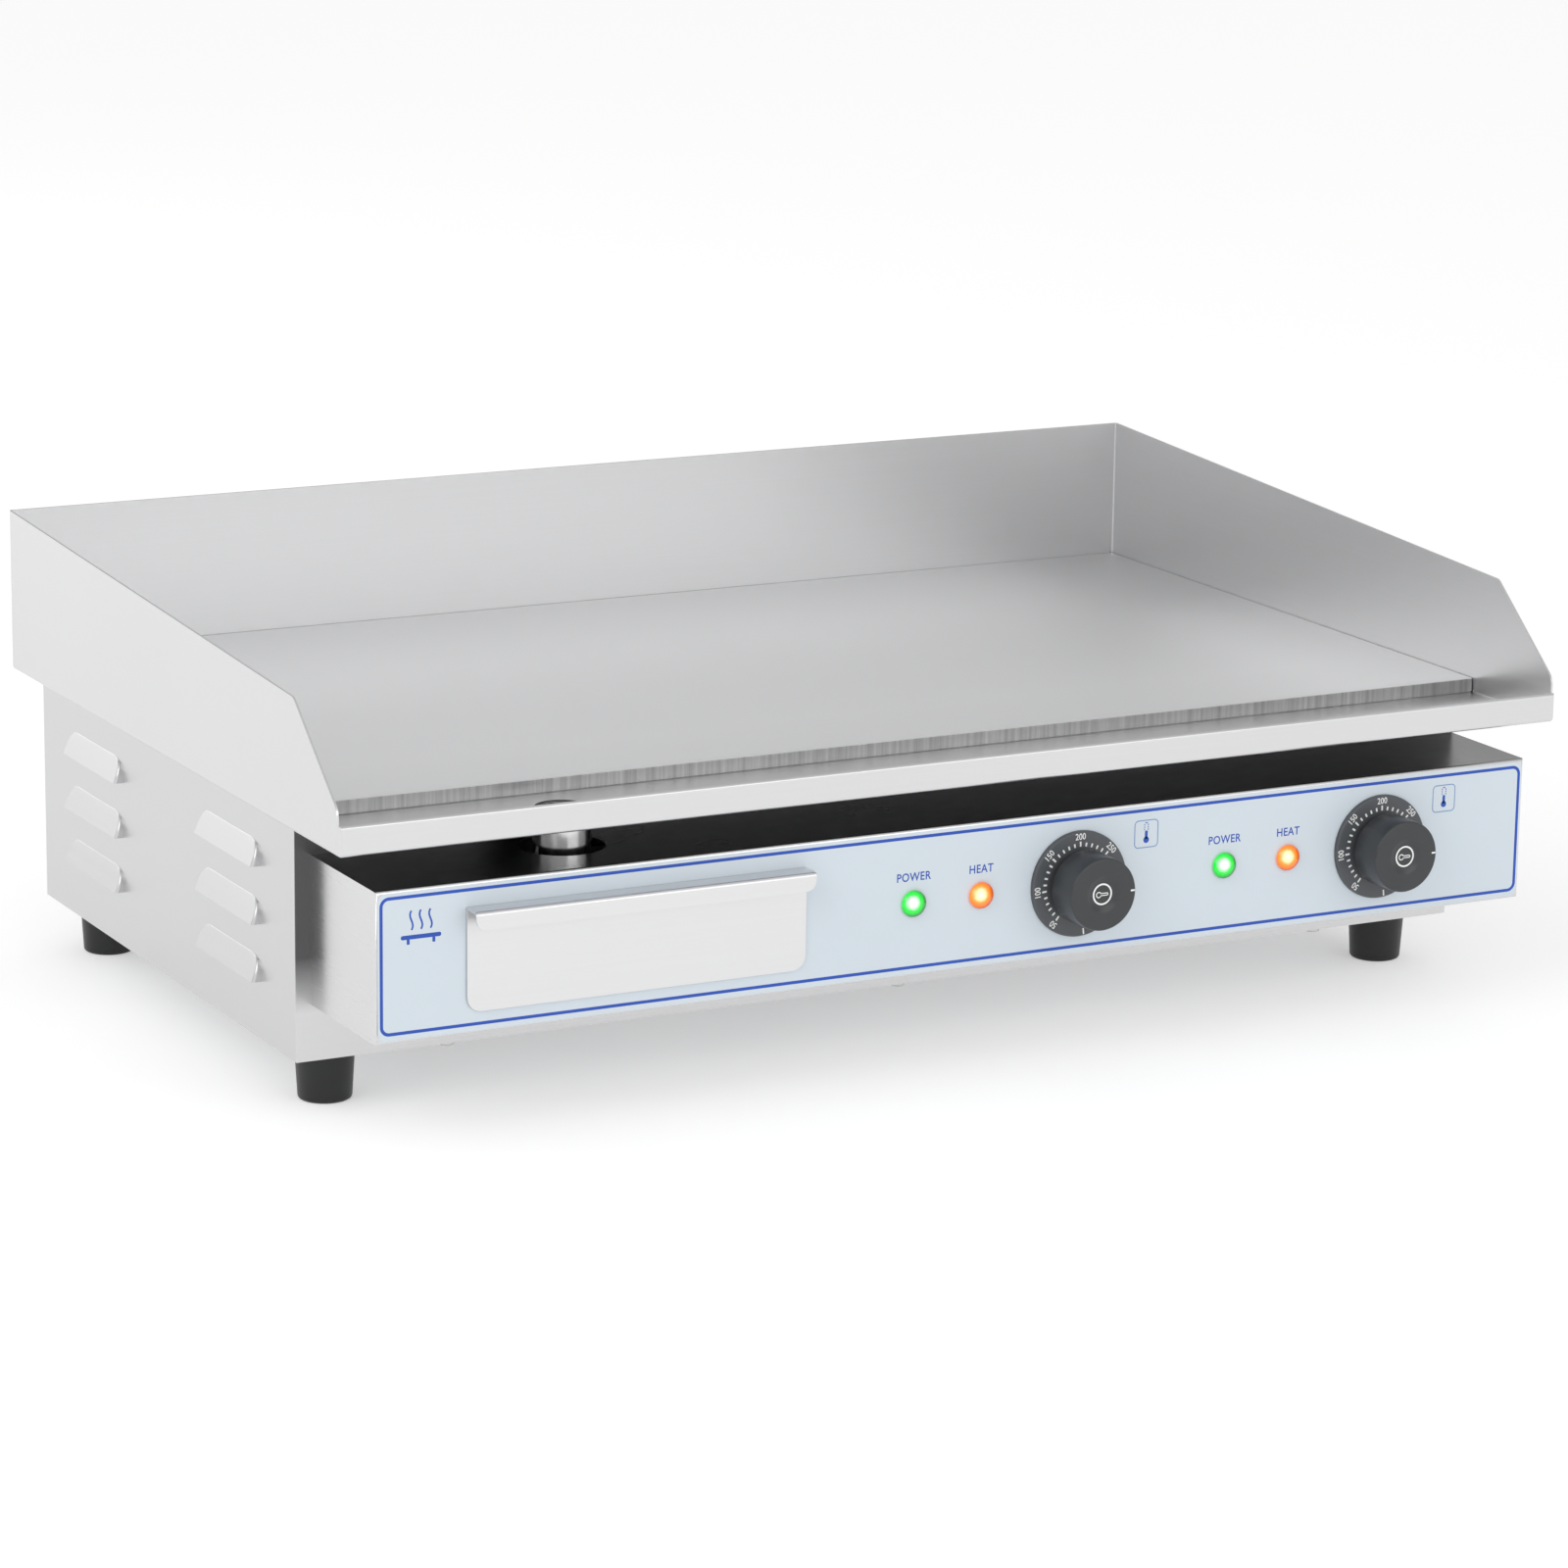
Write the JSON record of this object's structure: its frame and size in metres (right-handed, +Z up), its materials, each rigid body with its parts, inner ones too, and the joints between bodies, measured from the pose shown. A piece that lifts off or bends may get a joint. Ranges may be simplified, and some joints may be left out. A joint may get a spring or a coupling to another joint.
{
  "type": "electric griddle",
  "caption": "Counter-top electric griddle: flat steel cooking plate in a folded splash tray, over a louvred body with a control housing, a sliding grease drawer and turning thermostat knobs.",
  "frame": {"origin": "on the bench surface under the feet, at the middle of the overall box", "axes": "+X to the right seen from the front, +Y from the control panel towards the back, +Z up"},
  "size_m": [0.73, 0.503, 0.25],
  "materials": {
    "stainless_guard": "satin stainless steel",
    "griddle_steel": "fine-ground cooking plate",
    "stainless_body": "satin stainless steel",
    "galvanised_steel": "galvanised inner sheet",
    "panel_film": "printed polycarbonate film",
    "black_plastic": "satin moulded plastic",
    "knob_plastic": "satin moulded phenolic",
    "green_lens": "lit green lens",
    "orange_lens": "lit orange lens",
    "rubber_black": "moulded rubber",
    "zinc_fastener": "zinc-plated fastener",
    "element_sheath": "heat-darkened tube",
    "ceramic_fibre": "ceramic fibre board",
    "copper_brass": "brass and copper",
    "white_ceramic": "glazed terminal block"
  },
  "bodies": {
    "griddle": {"splash_tray": "stainless_guard", "griddle_plate": "griddle_steel", "plate_studs": "zinc_fastener", "plate_nuts": "zinc_fastener", "clamp_nuts": "zinc_fastener", "drain_pipe": "stainless_guard", "front_bulkhead": "stainless_body", "rear_panel": "stainless_body", "side_panel_left": "stainless_body", "side_panel_right": "stainless_body", "base_pan": "galvanised_steel", "base_screws": "zinc_fastener", "foot_screws": "zinc_fastener", "foot_nuts": "zinc_fastener", "control_housing": "stainless_body", "housing_screws": "zinc_fastener", "panel_label": "panel_film", "wiring_grommets": "rubber_black", "bezel_screws": "zinc_fastener", "lamp_holders": "black_plastic", "element_clamps": "galvanised_steel", "heat_shield": "galvanised_steel", "insulation_pad": "ceramic_fibre", "gland_locknuts": "black_plastic", "bonding_stud": "copper_brass", "bonding_nuts": "copper_brass", "earth_stud": "copper_brass", "dial_bezel_left": "knob_plastic", "thermostat_left": "black_plastic", "temperature_sensor_left": "copper_brass", "heating_element_left": "element_sheath", "terminal_block_left": "white_ceramic", "cable_gland_left": "black_plastic", "drawer_runner_left": "galvanised_steel", "foot_front_left": "rubber_black", "foot_rear_left": "rubber_black", "power_lamp_left": "green_lens", "heat_lamp_left": "orange_lens", "dial_bezel_right": "knob_plastic", "thermostat_right": "black_plastic", "temperature_sensor_right": "copper_brass", "heating_element_right": "element_sheath", "terminal_block_right": "white_ceramic", "cable_gland_right": "black_plastic", "drawer_runner_right": "galvanised_steel", "foot_front_right": "rubber_black", "foot_rear_right": "rubber_black", "power_lamp_right": "green_lens", "heat_lamp_right": "orange_lens"},
    "drawer": {"drawer_tray": "stainless_body", "drawer_front": "stainless_body", "drawer_rivets": "zinc_fastener"},
    "left_knob": {"knob_left": "knob_plastic", "knob_shaft_left": "zinc_fastener"},
    "right_knob": {"knob_right": "knob_plastic", "knob_shaft_right": "zinc_fastener"}
  },
  "joints": [
    {"name": "drawer_slide", "type": "slide", "parent": "griddle", "child": "drawer", "axis": [0, -1, 0], "range_m": [0, 0.15]},
    {"name": "left_knob_turn", "type": "hinge", "parent": "griddle", "child": "left_knob", "pos_m": [0.06, -0.24, 0.09925], "axis": [0, -1, 0], "range_deg": [-5, 274]},
    {"name": "right_knob_turn", "type": "hinge", "parent": "griddle", "child": "right_knob", "pos_m": [0.2513, -0.24, 0.09925], "axis": [0, -1, 0], "range_deg": [-5, 274]}
  ]
}
